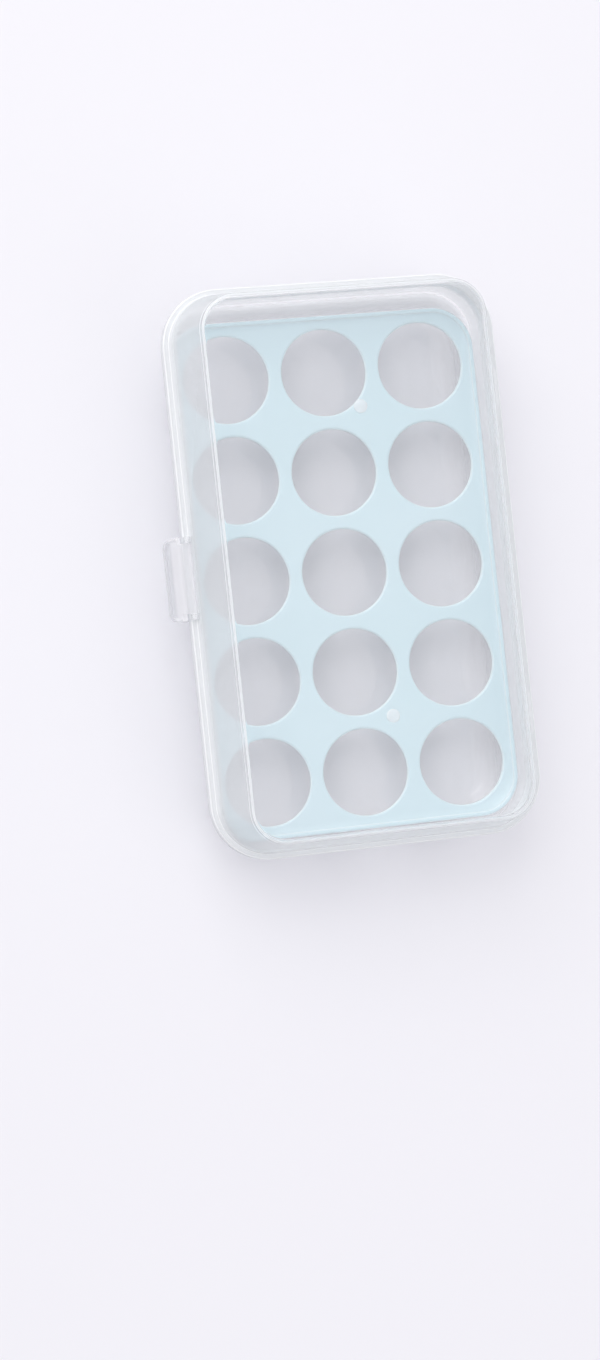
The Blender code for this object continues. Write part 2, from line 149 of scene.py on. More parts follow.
def pierceTree():
    # copies a rim to every hole, then fills the plate's two faces between the rims and the border
    tree, start, end = newTree("piercedPlate", {
        "Rim": "NodeSocketObject", "Pitch": "NodeSocketFloat", "Columns": "NodeSocketInt",
        "Rows": "NodeSocketInt", "Bottom": "NodeSocketFloat", "Top": "NodeSocketFloat",
        "Material": "NodeSocketMaterial",
    })
    sizes = []
    for count in ("Columns", "Rows"):
        spaces = maths(tree, "SUBTRACT", start.outputs[count], 1)
        sizes.append(maths(tree, "MULTIPLY", spaces, start.outputs["Pitch"]))
    grid = addNode(tree, "GeometryNodeMeshGrid", feeds={
        "Size X": sizes[0], "Size Y": sizes[1],
        "Vertices X": start.outputs["Columns"], "Vertices Y": start.outputs["Rows"],
    })
    rim = addNode(tree, "GeometryNodeObjectInfo", feeds={"Object": start.outputs["Rim"]})
    copies = addNode(
        tree, "GeometryNodeInstanceOnPoints",
        feeds={"Points": grid.outputs["Mesh"], "Instance": rim.outputs["Geometry"]},
    )
    rims = addNode(tree, "GeometryNodeRealizeInstances", feeds={"Geometry": copies.outputs[0]})
    walls = addNode(tree, "GeometryNodeJoinGeometry")
    for piece in (rims.outputs[0], start.outputs["Geometry"]):
        tree.links.new(piece, walls.inputs[0])
    faces = addNode(tree, "GeometryNodeInputMeshEdgeNeighbors").outputs[0]
    loose = maths(tree, "COMPARE", faces, 1, 0.5)
    place = addNode(tree, "GeometryNodeInputPosition").outputs[0]
    height = addNode(tree, "ShaderNodeSeparateXYZ", feeds={0: place}).outputs[2]
    middle = maths(tree, "MULTIPLY", maths(tree, "ADD", start.outputs["Bottom"], start.outputs["Top"]), 0.5)
    whole = addNode(tree, "GeometryNodeJoinGeometry")
    tree.links.new(walls.outputs[0], whole.inputs[0])
    for level, operation in (("Bottom", "LESS_THAN"), ("Top", "GREATER_THAN")):
        chosen = maths(tree, "MULTIPLY", loose, maths(tree, operation, height, middle))
        loops = addNode(tree, "GeometryNodeMeshToCurve", feeds={"Mesh": walls.outputs[0], "Selection": chosen})
        filled = addNode(tree, "GeometryNodeFillCurve", feeds={"Curve": loops.outputs[0]})
        lift = addNode(tree, "ShaderNodeCombineXYZ", feeds={2: start.outputs[level]})
        flat = addNode(
            tree, "GeometryNodeSetPosition", feeds={"Geometry": filled.outputs[0], "Offset": lift.outputs[0]},
        )
        tree.links.new(flat.outputs[0], whole.inputs[0])
    return endTree(tree, start, end, whole.outputs[0], 0.002 * mm)


def tubeTree():
    # a round bead swept along the source's edges
    tree, start, end = newTree("sweptBead", {
        "Radius": "NodeSocketFloat", "Sides": "NodeSocketInt", "Material": "NodeSocketMaterial",
    })
    path = addNode(tree, "GeometryNodeMeshToCurve", feeds={"Mesh": start.outputs["Geometry"]})
    profile = addNode(tree, "GeometryNodeCurvePrimitiveCircle", feeds={
        "Resolution": start.outputs["Sides"], "Radius": start.outputs["Radius"],
    })
    swept = addNode(tree, "GeometryNodeCurveToMesh", feeds={
        "Curve": path.outputs[0], "Profile Curve": profile.outputs[0], "Fill Caps": True,
    })
    return endTree(tree, start, end, swept.outputs[0], 0.001 * mm)


lofting = loftTree()
piercing = pierceTree()
sweeping = tubeTree()


# Helpers for meshes

def newObject(name, mesh):
    thing = bpy.data.objects.new(name, mesh)
    bpy.context.scene.collection.objects.link(thing)
    return thing


def settle(name, carrier):
    # what an object's modifiers make of it, as a plain mesh of its own
    graph = bpy.context.evaluated_depsgraph_get()
    mesh = bpy.data.meshes.new_from_object(carrier.evaluated_get(graph))
    bpy.data.objects.remove(carrier)
    mesh.name = name
    return newObject(name, mesh)


def grow(name, source, tree, values):
    carrier = newObject(f"{name}_source", source)
    modifier = carrier.modifiers.new("grow", "NODES")
    modifier.node_group = tree
    for item in tree.interface.items_tree:
        if item.in_out == "INPUT" and item.name in values:
            modifier[item.identifier] = values[item.name]
    return settle(name, carrier)


def loft(name, rings, material, cornerSteps=20):
    # rings are (half width, half length, corner radius, height)
    points = bpy.data.meshes.new(f"{name}_rings")
    points.from_pydata([(ring[0], ring[1], ring[3]) for ring in rings], [], [])
    points.attributes.new("corner", "FLOAT", "POINT").data.foreach_set("value", [ring[2] for ring in rings])
    return grow(name, points, lofting, {"Corner steps": cornerSteps, "Material": material})


def arc(steps, start, stop):
    # the sines and cosines along an arc
    for step in range(steps + 1):
        angle = start + (stop - start) * step / steps
        yield math.sin(angle), math.cos(angle)


def prism(name, outline, lowY, highY, edge=0.0):
    # a bar along Y with the given (x, z) outline, its edges softened
    mesh = bmesh.new()
    rings = [[mesh.verts.new((x, y, z)) for x, z in outline] for y in (lowY, highY)]
    mesh.faces.new(rings[0])
    mesh.faces.new(list(reversed(rings[1])))
    for place in range(len(outline)):
        following = (place + 1) % len(outline)
        mesh.faces.new((rings[0][following], rings[0][place], rings[1][place], rings[1][following]))
    bmesh.ops.recalc_face_normals(mesh, faces=mesh.faces)
    if edge:
        sharp = [e for e in mesh.edges if e.calc_face_angle(0) > math.radians(40)]
        bmesh.ops.bevel(mesh, geom=sharp, offset=edge, segments=3, affect="EDGES", clamp_overlap=True)
    data = bpy.data.meshes.new(name)
    mesh.to_mesh(data)
    mesh.free()
    return newObject(name, data)


def rod(name, x, z, radius, lowY, highY, edge=0.0, sides=40):
    outline = [(x + radius * c, z + radius * s) for s, c in arc(sides, 0, 2 * math.pi)][:-1]
    return prism(name, outline, lowY, highY, edge)


def tube(name, path, radius):
    points = bpy.data.meshes.new(f"{name}_path")
    points.from_pydata(path, [(step, step + 1) for step in range(len(path) - 1)], [])
    return grow(name, points, sweeping, {"Radius": radius, "Sides": 12, "Material": clearSkin})


def combine(piece, tools, operation="UNION"):
    for tool in tools:
        boolean = piece.modifiers.new(tool.name, "BOOLEAN")
        boolean.operation = operation
        boolean.solver = "EXACT"
        boolean.object = tool
    name = piece.name
    piece.name = f"{name}_rough"
    joined = settle(name, piece)
    for tool in tools:
        bpy.data.objects.remove(tool)
    return joined


def dress(piece, material, body, node, sharpAngle=38):
    # tidies a finished mesh and lets it ride in place of its CAD node
    mesh = bmesh.new()
    mesh.from_mesh(piece.data)
    bmesh.ops.remove_doubles(mesh, verts=mesh.verts, dist=0.002 * mm)
    bmesh.ops.dissolve_degenerate(mesh, edges=mesh.edges, dist=0.002 * mm)
    bmesh.ops.recalc_face_normals(mesh, faces=mesh.faces)
    loose = sum(1 for edge in mesh.edges if len(edge.link_faces) != 2)
    print(f"egg holder: {piece.name} has {len(mesh.faces)} faces, {loose} open edges")
    mesh.to_mesh(piece.data)
    mesh.free()
    piece.data.materials.clear()
    piece.data.materials.append(material)
    piece.data.polygons.foreach_set("material_index", [0] * len(piece.data.polygons))
    piece.data.shade_smooth()
    piece.data.set_sharp_from_angle(angle=math.radians(sharpAngle))
    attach(piece, body)
    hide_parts(node)


# Plastics

# tilts are the share of a surface's normal that points up: nothing on a wall, one on the flat top.
# Bands are a middle with the distances at which the effect starts to fade and is gone.
clearLook = {
    "name": "natural_polypropylene", "ior": 1.49, "gloss": 0.12, "waveMm": 14.0, "waveStrength": 0.02,
    "milk": "#fcfdfe", "wallMilk": "#dfe1e3", "rimMilk": "#ebedef", "floorMilk": "#cdcfd2",
    "windowHaze": 0.04, "wallHaze": 0.42, "rimHaze": 0.75, "floorHaze": 0.14, "creaseHaze": 0.62,
    "shoulderHaze": 0.4, "pipHaze": 0.6, "slantHaze": 0.2, "slantPower": 4.0, "mostHaze": 0.98,
    "shadowShare": 0.25, "glow": 0.5, "rimGlow": 0.2, "gleamPower": 5.0, "gleamShare": 0.3, "gleamLeast": 0.05,
    "windowBlur": 0.008, "wallBlur": 0.14, "bentWindow": 1.0, "bentWall": 0.0, "deepest": 5.5,
    "frostedTilts": (0.35, 0.95), "polishedTilts": (0.9, 0.995),
    "creaseTilts": (0.83, 0.13, 0.165), "edgeTilts": (0.6, 0.25, 0.38),
    "rimBand": (35 * mm, 3.2 * mm, 7 * mm), "shoulderBand": (37 * mm, 0.4 * mm, 0.8 * mm),
    "ceilingBand": (64.1 * mm, 0.3 * mm, 0.45 * mm), "floorRise": (6.5 * mm, 13 * mm),
    "creaseRise": (64.45 * mm, 64.55 * mm), "pipRise": (66.01 * mm, 66.2 * mm),
}


def fade(tree, value, low, high, start=0.0, stop=1.0):
    # a smooth step from one value to another
    return addNode(tree, "ShaderNodeMapRange", {"interpolation_type": "SMOOTHSTEP"}, {
        "Value": value, "From Min": low, "From Max": high, "To Min": start, "To Max": stop,
    }).outputs[0]


def near(tree, value, middle, inner, outer):
    # one close to the middle value and nothing away from it
    distance = maths(tree, "ABSOLUTE", maths(tree, "SUBTRACT", value, middle))
    return fade(tree, distance, inner, outer, 1.0, 0.0)


def blend(tree, share, first, second):
    return addNode(tree, "ShaderNodeMixRGB", feeds={0: share, 1: first, 2: second}).outputs[0]


def clearPolypropylene(look):
    # natural polypropylene: clear in the polished top, milky on the frosted walls and where it lies double; the
    # greyer walls and the greyer tub bottom are painted shade, the white lines along the rounds painted
    # highlights
    material = newMaterial(look["name"])
    tree = material.node_tree
    space = addNode(tree, "ShaderNodeTexCoord")
    waves = addNode(tree, "ShaderNodeTexNoise", feeds={
        "Vector": space.outputs["Object"], "Scale": 1 / (look["waveMm"] * mm), "Detail": 1.0,
    })
    bump = addNode(tree, "ShaderNodeBump", feeds={
        "Strength": look["waveStrength"], "Distance": 1 * mm, "Height": waves.outputs["Fac"],
    })
    height = addNode(tree, "ShaderNodeSeparateXYZ", feeds={0: space.outputs["Object"]}).outputs[2]
    upright = addNode(tree, "ShaderNodeSeparateXYZ", feeds={0: space.outputs["Normal"]})
    flatness = maths(tree, "ABSOLUTE", upright.outputs[2])
    facing = addNode(tree, "ShaderNodeLayerWeight", feeds={"Blend": 0.5}).outputs["Facing"]
    haze = fade(tree, flatness, *look["frostedTilts"], look["wallHaze"], look["windowHaze"])
    rim = near(tree, height, *look["rimBand"])
    # the tub's bottom, under the tray, is painted greyer and hazier: painted shade
    floor = fade(tree, height, *look["floorRise"], 1.0, 0.0)
    pips = fade(tree, height, *look["pipRise"])
    slant = maths(tree, "POWER", facing, look["slantPower"])
    # a painted highlight: the round between wall and top is drawn as a white, hazier line, but the pips have
    # none
    crease = maths(
        tree, "MULTIPLY", near(tree, flatness, *look["creaseTilts"]), fade(tree, height, *look["creaseRise"]),
    )
    crease = maths(tree, "MULTIPLY", crease, maths(tree, "SUBTRACT", 1, pips))
    # the same painted highlight goes on the flange's outer edge and the round under the top
    levels = maths(
        tree, "ADD", near(tree, height, *look["shoulderBand"]), near(tree, height, *look["ceilingBand"]),
    )
    edge = maths(tree, "MULTIPLY", near(tree, flatness, *look["edgeTilts"]), levels)
    shares = (
        (rim, "rimHaze"), (floor, "floorHaze"), (pips, "pipHaze"), (slant, "slantHaze"), (crease, "creaseHaze"),
        (edge, "shoulderHaze"),
    )
    for share, name in shares:
        haze = maths(tree, "ADD", haze, maths(tree, "MULTIPLY", share, look[name]))
    # most of what scatters still goes on, so the shadows stay pale
    path = addNode(tree, "ShaderNodeLightPath")
    held = fade(tree, path.outputs["Is Shadow Ray"], 0.0, 1.0, 1.0, look["shadowShare"])
    haze = maths(tree, "MULTIPLY", maths(tree, "MINIMUM", haze, look["mostHaze"]), held)
    milks = {name: (*linear(look[name]), 1) for name in ("milk", "wallMilk", "rimMilk", "floorMilk")}
    # the walls take a greyer tone than the flat top: painted shade on the walls
    colour = blend(tree, flatness, milks["wallMilk"], milks["milk"])
    colour = blend(tree, rim, colour, milks["rimMilk"])
    # painted shade: the grey tone of the tub's bottom
    colour = blend(tree, floor, colour, milks["floorMilk"])
    # the painted highlights take the white milk colour
    colour = blend(tree, maths(tree, "MAXIMUM", crease, edge), colour, milks["milk"])
    milk = addNode(tree, "ShaderNodeBsdfDiffuse", feeds={"Color": colour})
    glow = addNode(tree, "ShaderNodeBsdfTranslucent", feeds={"Color": colour})
    through = fade(tree, rim, 0.0, 1.0, look["glow"], look["rimGlow"])
    cloudy = addNode(tree, "ShaderNodeMixShader", feeds={0: through, 1: milk.outputs[0], 2: glow.outputs[0]})
    gleam = maths(tree, "MULTIPLY", maths(tree, "POWER", facing, look["gleamPower"]), look["gleamShare"])
    mirror = maths(tree, "ADD", gleam, look["gleamLeast"])
    gloss = addNode(tree, "ShaderNodeBsdfGlossy", feeds={"Roughness": look["gloss"], "Normal": bump.outputs[0]})
    frosted = addNode(tree, "ShaderNodeMixShader", feeds={0: mirror, 1: cloudy.outputs[0], 2: gloss.outputs[0]})
    # light itself goes straight through, and so does a look that has crossed many walls
    straight = addNode(tree, "ShaderNodeBsdfTransparent")
    bent = addNode(tree, "ShaderNodeBsdfGlass", feeds={
        "Roughness": fade(tree, flatness, *look["polishedTilts"], look["wallBlur"], look["windowBlur"]),
        "IOR": look["ior"], "Normal": bump.outputs[0],
    })
    deep = maths(tree, "GREATER_THAN", path.outputs["Transmission Depth"], look["deepest"])
    loose = maths(tree, "MAXIMUM", path.outputs["Is Shadow Ray"], path.outputs["Is Diffuse Ray"])
    loose = maths(tree, "MAXIMUM", loose, deep)
    unbent = fade(tree, flatness, *look["polishedTilts"], 1 - look["bentWall"], 1 - look["bentWindow"])
    for share in (unbent, rim):
        loose = maths(tree, "MAXIMUM", loose, share)
    clear = addNode(tree, "ShaderNodeMixShader", feeds={0: loose, 1: bent.outputs[0], 2: straight.outputs[0]})
    skin = addNode(tree, "ShaderNodeMixShader", feeds={0: haze, 1: clear.outputs[0], 2: frosted.outputs[0]})
    addNode(tree, "ShaderNodeOutputMaterial", feeds={"Surface": skin.outputs[0]})
    return material


latchLook = {
    **clearLook, "name": "natural_polypropylene_clip",
    # the clip's flat faces, the bead's crown among them, take a grey tone: painted shade; its walls take a
    # lighter tone
    "milk": "#dadbdf", "wallMilk": "#f6f6f8", "rimMilk": "#f6f6f8",
    "windowHaze": 0.5, "wallHaze": 0.45, "rimHaze": 0.1, "bentWindow": 0.2,
}
trayLook = {
    "colour": "#d8eaf1", "deep": "#cee5ec", "pale": "#f8fdfe", "paleEdge": 0.45, "roughness": 0.24, "ior": 1.49,
    "grainMm": 1.2, "grainStrength": 0.06, "grainDepth": 0.1 * mm, "cloudMm": 60.0, "glow": 0.12,
}


def pastelPolypropylene(look):
    # pigmented polypropylene: a satin skin that glows a little where light passes the thin plate
    material = newMaterial("pastel_polypropylene")
    tree = material.node_tree
    space = addNode(tree, "ShaderNodeTexCoord")
    clouds = addNode(tree, "ShaderNodeTexNoise", feeds={
        "Vector": space.outputs["Object"], "Scale": 1 / (look["cloudMm"] * mm), "Detail": 2.0,
    })
    upright = addNode(tree, "ShaderNodeSeparateXYZ", feeds={0: space.outputs["Normal"]})
    # the rounded edges and hole rims are painted paler: a painted highlight along them
    edgeHighlight = fade(tree, upright.outputs[2], 0.6, 0.98, look["paleEdge"], 0.0)
    tints = {name: (*linear(look[name]), 1) for name in ("colour", "deep", "pale")}
    clouded = blend(tree, clouds.outputs["Fac"], tints["colour"], tints["deep"])
    colour = blend(tree, edgeHighlight, clouded, tints["pale"])
    grain = addNode(tree, "ShaderNodeTexNoise", feeds={
        "Vector": space.outputs["Object"], "Scale": 1 / (look["grainMm"] * mm), "Detail": 2.0,
    })
    bump = addNode(tree, "ShaderNodeBump", feeds={
        "Strength": look["grainStrength"], "Distance": look["grainDepth"], "Height": grain.outputs["Fac"],
    })
    skin = addNode(tree, "ShaderNodeBsdfPrincipled", feeds={
        "Base Color": colour, "Roughness": look["roughness"], "IOR": look["ior"], "Normal": bump.outputs[0],
    })
    glow = addNode(tree, "ShaderNodeBsdfTranslucent", feeds={"Color": colour})
    body = addNode(tree, "ShaderNodeMixShader", feeds={0: look["glow"], 1: skin.outputs[0], 2: glow.outputs[0]})
    addNode(tree, "ShaderNodeOutputMaterial", feeds={"Surface": body.outputs[0]})
    return material


clearSkin = clearPolypropylene(clearLook)
latchSkin = clearPolypropylene(latchLook)
traySkin = pastelPolypropylene(trayLook)
print("egg holder: the plastics are mixed")


# Sizes that the shells share

hinge = {"x": joints["lid_hinge"]["pos_m"][0], "z": joints["lid_hinge"]["pos_m"][2]}
pivot = {"x": joints["latch_pivot"]["pos_m"][0], "z": joints["latch_pivot"]["pos_m"][2]}
shared = {
    "wall": 1.5 * mm, "lip": 0.85 * mm, "skirtGap": 0.35 * mm, "skirtWall": 1.3 * mm, "skirtDepth": 5.8 * mm,
    "seatGap": 0.3 * mm, "rimCorner": 25 * mm, "hingeOut": 0.2 * mm, "support": 0.3 * mm,
}
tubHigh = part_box("base_shell")[1]
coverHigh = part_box("lid_shell")[1]
rimOut = shared["wall"] + shared["lip"] + shared["skirtGap"] + shared["skirtWall"]
rimX = hinge["x"] - shared["hingeOut"]
rimY = coverHigh.y
mouthX = rimX - rimOut
mouthY = rimY - rimOut
flangeTop = tubHigh.z + shared["seatGap"] + shared["wall"]
skirtBottom = flangeTop - shared["skirtDepth"]


def mouth(out, height):
    # the inside of the tub's mouth, moved outwards
    return (mouthX + out, mouthY + out, shared["rimCorner"] - rimOut + out, height)


def spine(ring):
    # closes a flat face on the ring's own middle line
    return (0.0, ring[1] - ring[0], 0.0, ring[3])


# Tray

trayLow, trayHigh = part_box("egg_tray")
traySizes = {
    "columns": 3, "rows": 5, "pitch": 44 * mm, "hole": 38 * mm, "corner": 18 * mm, "thickness": 1.7 * mm,
    "beadWidth": 1.9 * mm, "bead": 0.9 * mm, "edge": 0.4 * mm, "beadRound": 0.7 * mm, "holeEdge": 1.1 * mm,
    "underEdge": 0.3 * mm, "holeSteps": 24,
}


def eggTray(sizes):
    halfX = (trayHigh.x - trayLow.x) / 2
    halfY = (trayHigh.y - trayLow.y) / 2
    bottom = trayLow.z
    top = bottom + sizes["thickness"]
    crown = top + sizes["bead"]
    edge = sizes["edge"]
    support = shared["support"]

    def ring(inset, height):
        return (halfX - inset, halfY - inset, sizes["corner"] - inset, height)

    rings = [ring(edge + support, bottom)]
    rings += [ring(edge * (1 - s), bottom + edge * (1 - c)) for s, c in arc(4, 0, math.pi / 2)]
    outer = sizes["beadRound"]
    rings += [ring(outer * (1 - c), crown - outer * (1 - s)) for s, c in arc(6, 0, math.pi / 2)]
    brow = sizes["beadWidth"] - outer
    rings += [ring(brow + outer * s, crown - outer * (1 - c)) for s, c in arc(6, math.pi / 12, math.pi / 2.2)]
    rings.append(ring(sizes["beadWidth"] + support, top))
    border = loft("tray_border", rings, traySkin)

    radius = sizes["hole"] / 2
    brim = sizes["holeEdge"]
    under = sizes["underEdge"]

    def hoop(grown, height):
        return (radius + grown, radius + grown, radius + grown, height)

    hoops = [hoop(under + support, bottom)]
    hoops += [hoop(under * (1 - s), bottom + under * (1 - c)) for s, c in arc(3, 0, math.pi / 2)]
    hoops += [hoop(brim * (1 - c), top - brim * (1 - s)) for s, c in arc(6, 0, math.pi / 2)]
    hoops.append(hoop(brim + support, top))
    rim = loft("tray_rim", hoops, traySkin, sizes["holeSteps"])

    source = border.data.copy()
    tray = grow("tray", source, piercing, {
        "Rim": rim, "Pitch": sizes["pitch"], "Columns": sizes["columns"], "Rows": sizes["rows"],
        "Bottom": bottom, "Top": top, "Material": traySkin,
    })
    bpy.data.objects.remove(border)
    bpy.data.objects.remove(rim)
    tray.data.transform(Matrix.Translation((0, (trayLow.y + trayHigh.y) / 2, 0)))
    dress(tray, traySkin, "tray", "egg_tray", 50)


eggTray(traySizes)
print("egg holder: the tray is pierced")


# Hinge

hingeSizes = {
    "spacing": 144 * mm, "lug": 18 * mm, "knuckle": 3 * mm, "gap": 0.4 * mm, "radius": 2.1 * mm,
    "trunnion": 1.1 * mm, "play": 0.2 * mm, "web": 2.2 * mm, "rise": 3.5 * mm,
    "overrun": 2 * mm, "edge": 0.25 * mm,
}
hingeMiddles = (-hingeSizes["spacing"] / 2, hingeSizes["spacing"] / 2)


def hingeEars(sizes):
    # the tub's four knuckles and the bores through them
    rootX = mouthX + shared["wall"] / 2
    ears = []
    bores = []
    for middle in hingeMiddles:
        for side in (-1, 1):
            inner = middle + side * (sizes["lug"] / 2 + sizes["gap"])
            low = min(inner, inner + side * sizes["knuckle"])
            outline = [(rootX, hinge["z"] - sizes["radius"]), (rootX, hinge["z"] + sizes["radius"])]
            nose = arc(16, 0, math.pi)
            outline += [(hinge["x"] + sizes["radius"] * s, hinge["z"] + sizes["radius"] * c) for s, c in nose]
            ears.append(prism(f"ear_{len(ears)}", outline, low, low + sizes["knuckle"], sizes["edge"]))
            bores.append(rod(
                f"bore_{len(bores)}", hinge["x"], hinge["z"], sizes["trunnion"] + sizes["play"],
                low - sizes["overrun"], low + sizes["knuckle"] + sizes["overrun"],
            ))
    return ears, bores


def hingeLugs(sizes):
    # the cover's two webs, with their barrels and trunnions
    innerX = mouthX + rimOut - shared["skirtWall"] + sizes["play"]
    outerX = innerX + sizes["web"]
    lugs = []
    for middle in hingeMiddles:
        half = sizes["lug"] / 2
        outline = [
            (innerX, hinge["z"]), (innerX, skirtBottom + sizes["rise"]),
            (rimX - shared["skirtWall"] / 2, skirtBottom + sizes["rise"]),
            (outerX, skirtBottom + sizes["web"] / 2), (outerX, hinge["z"]),
        ]
        lugs.append(prism(f"lug_{len(lugs)}", outline, middle - half, middle + half, sizes["edge"]))
        for radius, reach in ((sizes["radius"], half), (sizes["trunnion"], half + sizes["knuckle"])):
            lugs.append(rod(
                f"lug_{len(lugs)}", hinge["x"], hinge["z"], radius,
                middle - reach, middle + reach, sizes["edge"],
            ))
    return lugs


# Tub

tubSizes = {
    "ledgeHeight": 18 * mm, "ledge": 2.2 * mm, "floorRound": 15 * mm, "slopeShare": 0.035, "lipHeight": 2 * mm,
    "edge": 0.3 * mm, "catch": 28 * mm, "catchThickness": 1.6 * mm, "catchReach": 0.2 * mm,
}


def tub(sizes):
    wall = shared["wall"]
    height = tubHigh.z
    edge = sizes["edge"]
    ledgeZ = sizes["ledgeHeight"]
    seat = -sizes["slopeShare"] * (height - ledgeZ)
    foot = seat - sizes["ledge"] - sizes["slopeShare"] * (ledgeZ - sizes["floorRound"])
    floor = foot + wall - sizes["floorRound"]
    inner = sizes["floorRound"] - wall
    lip = wall + shared["lip"]
    lipZ = height - sizes["lipHeight"]
    bottom = mouth(floor - shared["support"], 0)
    rings = [spine(bottom), bottom]
    for s, c in arc(12, 0, math.pi / 2):
        rings.append(mouth(floor + sizes["floorRound"] * s, sizes["floorRound"] * (1 - c)))
    rings += [
        mouth(seat - sizes["ledge"] + wall - edge * 0.05, ledgeZ - wall - edge),
        mouth(seat - sizes["ledge"] + wall + edge * 0.3, ledgeZ - wall - edge * 0.2),
        mouth(seat - sizes["ledge"] + wall + edge, ledgeZ - wall + edge * 0.4),
        mouth(seat + wall - edge, ledgeZ - edge * 0.7),
        mouth(seat + wall - edge * 0.3, ledgeZ),
        mouth(seat + wall, ledgeZ + edge),
        mouth(wall - sizes["slopeShare"] * sizes["lipHeight"], lipZ - edge),
        mouth(wall - sizes["slopeShare"] * sizes["lipHeight"] + edge * 0.3, lipZ),
        mouth(lip - edge * 0.3, lipZ + shared["lip"] - edge * 0.3),
        mouth(lip, lipZ + shared["lip"] + edge * 0.5),
    ]
    rings += [mouth(lip - edge * (1 - c), height - edge * (1 - s)) for s, c in arc(3, 0, math.pi / 2)]
    rings += [mouth(edge * (1 - s), height - edge * (1 - c)) for s, c in arc(3, 0, math.pi / 2)]
    rings += [
        mouth(seat, ledgeZ + edge), mouth(seat - edge * 0.3, ledgeZ + edge * 0.3), mouth(seat - edge, ledgeZ),
        mouth(seat - sizes["ledge"] + edge, ledgeZ),
        mouth(seat - sizes["ledge"] + edge * 0.3, ledgeZ - edge * 0.3),
        mouth(seat - sizes["ledge"], ledgeZ - edge),
    ]
    for s, c in arc(12, math.pi / 2, 0):
        rings.append(mouth(floor + inner * s, sizes["floorRound"] - inner * c))
    inside = mouth(floor - shared["support"], wall)
    rings += [inside, spine(inside)]
    piece = loft("tub", rings, clearSkin)

    catchTop = skirtBottom - shared["seatGap"]
    catchTip = -(rimX + sizes["catchReach"])
    catchRoot = -(mouthX + wall / 2)
    catchFoot = catchTop - sizes["catchThickness"]
    catch = prism("catch", [
        (catchRoot, catchFoot), (catchTip, catchFoot), (catchTip, catchTop), (catchRoot, catchTop),
    ], -sizes["catch"] / 2, sizes["catch"] / 2, edge)
    ears, bores = hingeEars(hingeSizes)
    piece = combine(piece, [catch, *ears])
    piece = combine(piece, bores, "DIFFERENCE")
    dress(piece, clearSkin, "base", "base_shell")


tub(tubSizes)
print("egg holder: the tub stands")


# Cover

coverSizes = {
    "top": 66 * mm, "sideInset": 9 * mm, "endInset": 4 * mm, "topCorner": 15 * mm, "edgeRound": 2 * mm,
    "innerRound": 1 * mm, "shoulder": 0.8 * mm, "lean": math.radians(14), "skirtEdge": 0.35 * mm,
    "pip": 6.0 * mm, "pipHeight": 0.69 * mm, "pipSpacing": 132 * mm, "pipShift": (2.5 * mm, -1.3 * mm),
}
earSizes = {
    "radius": 1.9 * mm, "thickness": 2.4 * mm, "inset": 0.3 * mm, "pin": 0.9 * mm, "play": 0.2 * mm,
    "overrun": 2 * mm, "edge": 0.25 * mm,
}


